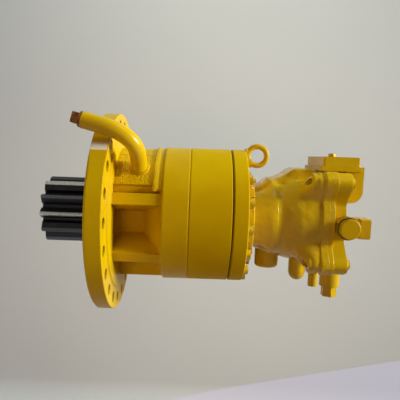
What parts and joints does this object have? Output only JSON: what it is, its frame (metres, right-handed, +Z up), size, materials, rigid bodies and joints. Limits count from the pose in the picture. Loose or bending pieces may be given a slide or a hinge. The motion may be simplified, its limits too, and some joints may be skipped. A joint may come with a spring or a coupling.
{
  "type": "swing motor",
  "caption": "Axial piston swing motor on a planetary gearbox with a bolted mounting flange, ribbed neck, filler tube, lifting eye and an output pinion.",
  "frame": {"origin": "centre of the mounting flange's front face, on the drive's axis", "axes": "+X runs from the output pinion towards the motor along the drive's axis, -Y is the side that the picture shows, +Z is up as the picture shows the drive"},
  "size_m": [0.818, 0.5, 0.5],
  "materials": {
    "yellow_paint": "glossy yellow machine paint over castings",
    "yellow_fasteners": "the same yellow paint over bolt heads",
    "oiled_steel": "dark oiled steel, bright on the tooth lands",
    "bearing_steel": "ground bearing steel",
    "gear_steel": "case hardened and ground steel",
    "machined_steel": "machined steel",
    "carrier_iron": "machined ductile iron",
    "seal_rubber": "matt oil seal rubber",
    "bronze": "bearing bronze",
    "friction_lining": "paper based friction lining",
    "plug_brown": "orange-brown stained steel plug"
  },
  "bodies": {
    "housing": {"drive_housing": "yellow_paint", "ring_gear": "yellow_paint", "top_cover": "yellow_paint", "cover_bolts": "yellow_fasteners", "dowel_pins": "machined_steel", "output_bearing_outers": "bearing_steel", "seal_retainer": "oiled_steel", "retainer_screws": "oiled_steel", "shaft_seals": "seal_rubber", "motor_casing": "yellow_paint", "motor_flange_bolts": "yellow_fasteners", "casing_plugs": "yellow_paint", "bleed_screw": "yellow_fasteners", "rear_cover": "yellow_paint", "rear_cover_bolts": "yellow_fasteners", "relief_valves": "yellow_paint", "makeup_cap": "yellow_paint", "port_plate": "yellow_paint", "port_bolts": "yellow_fasteners", "drain_plug": "yellow_paint", "motor_bearing_outers": "bearing_steel", "swash_plate": "machined_steel", "valve_plate": "bronze", "separator_plates": "machined_steel", "disc_spring": "machined_steel", "fill_tube": "yellow_paint", "fill_plug": "plug_brown", "eye_bolt": "yellow_paint"},
    "output_shaft": {"pinion_shaft": "oiled_steel", "output_bearing_inners": "bearing_steel", "bearing_spacer": "machined_steel", "shaft_nut": "machined_steel", "second_carrier": "carrier_iron", "second_pins": "gear_steel", "second_washers": "bronze", "shaft_end_clamp": "machined_steel"},
    "lower_cage": {"lower_rollers": "bearing_steel"},
    "upper_cage": {"upper_rollers": "bearing_steel"},
    "second_planet_a": {"second_planet_1": "gear_steel"},
    "second_planet_b": {"second_planet_2": "gear_steel"},
    "second_planet_c": {"second_planet_3": "gear_steel"},
    "first_stage": {"first_carrier": "carrier_iron", "first_outer_plate": "machined_steel", "first_pins": "gear_steel", "first_washers": "bronze", "second_sun": "gear_steel"},
    "first_planet_a": {"first_planet_1": "gear_steel"},
    "first_planet_b": {"first_planet_2": "gear_steel"},
    "first_planet_c": {"first_planet_3": "gear_steel"},
    "motor_rotor": {"first_sun": "gear_steel", "motor_shaft": "gear_steel", "cylinder_block": "carrier_iron", "pistons": "machined_steel", "slippers": "machined_steel", "slipper_retainer": "machined_steel", "lining_plates": "friction_lining", "motor_bearing_inners": "bearing_steel"},
    "front_cage": {"front_rollers": "bearing_steel"},
    "rear_cage": {"rear_rollers": "bearing_steel"},
    "brake": {"brake_piston": "machined_steel"}
  },
  "joints": [
    {"name": "output_spin", "type": "hinge", "parent": "housing", "child": "output_shaft", "pos_m": [0, 0, 0], "axis": [1, 0, 0], "continuous": true},
    {"name": "lower_cage_spin", "type": "hinge", "parent": "housing", "child": "lower_cage", "pos_m": [0, 0, 0], "axis": [1, 0, 0], "continuous": true},
    {"name": "upper_cage_spin", "type": "hinge", "parent": "housing", "child": "upper_cage", "pos_m": [0, 0, 0], "axis": [1, 0, 0], "continuous": true},
    {"name": "second_planet_a_spin", "type": "hinge", "parent": "output_shaft", "child": "second_planet_a", "pos_m": [0, 0.09, 0], "axis": [1, 0, 0], "continuous": true},
    {"name": "second_planet_b_spin", "type": "hinge", "parent": "output_shaft", "child": "second_planet_b", "pos_m": [0, -0.045, 0.07794], "axis": [1, 0, 0], "continuous": true},
    {"name": "second_planet_c_spin", "type": "hinge", "parent": "output_shaft", "child": "second_planet_c", "pos_m": [0, -0.045, -0.07794], "axis": [1, 0, 0], "continuous": true},
    {"name": "first_stage_spin", "type": "hinge", "parent": "housing", "child": "first_stage", "pos_m": [0, 0, 0], "axis": [1, 0, 0], "continuous": true},
    {"name": "first_planet_a_spin", "type": "hinge", "parent": "first_stage", "child": "first_planet_a", "pos_m": [0, 0.0825, 0], "axis": [1, 0, 0], "continuous": true},
    {"name": "first_planet_b_spin", "type": "hinge", "parent": "first_stage", "child": "first_planet_b", "pos_m": [0, -0.04125, 0.07145], "axis": [1, 0, 0], "continuous": true},
    {"name": "first_planet_c_spin", "type": "hinge", "parent": "first_stage", "child": "first_planet_c", "pos_m": [0, -0.04125, -0.07145], "axis": [1, 0, 0], "continuous": true},
    {"name": "motor_spin", "type": "hinge", "parent": "housing", "child": "motor_rotor", "pos_m": [0, 0, 0], "axis": [1, 0, 0], "continuous": true},
    {"name": "front_cage_spin", "type": "hinge", "parent": "housing", "child": "front_cage", "pos_m": [0, 0, 0], "axis": [1, 0, 0], "continuous": true},
    {"name": "rear_cage_spin", "type": "hinge", "parent": "housing", "child": "rear_cage", "pos_m": [0, 0, 0], "axis": [1, 0, 0], "continuous": true},
    {"name": "brake_release", "type": "slide", "parent": "housing", "child": "brake", "axis": [1, 0, 0], "range_m": [0, 0.0025], "stiffness_N_per_m": 50000, "deforming": ["disc_spring"]}
  ],
  "couplings": [
    {"joint": "lower_cage_spin", "follows": "output_spin", "ratio": 0.43369},
    {"joint": "upper_cage_spin", "follows": "output_spin", "ratio": 0.43631},
    {"joint": "second_planet_a_spin", "follows": "output_spin", "ratio": -3},
    {"joint": "second_planet_b_spin", "follows": "output_spin", "ratio": -3},
    {"joint": "second_planet_c_spin", "follows": "output_spin", "ratio": -3},
    {"joint": "first_stage_spin", "follows": "output_spin", "ratio": 4},
    {"joint": "first_planet_a_spin", "follows": "output_spin", "ratio": -10.286},
    {"joint": "first_planet_b_spin", "follows": "output_spin", "ratio": -10.286},
    {"joint": "first_planet_c_spin", "follows": "output_spin", "ratio": -10.286},
    {"joint": "motor_spin", "follows": "output_spin", "ratio": 22},
    {"joint": "front_cage_spin", "follows": "output_spin", "ratio": 9.3434},
    {"joint": "rear_cage_spin", "follows": "output_spin", "ratio": 9.3047}
  ]
}
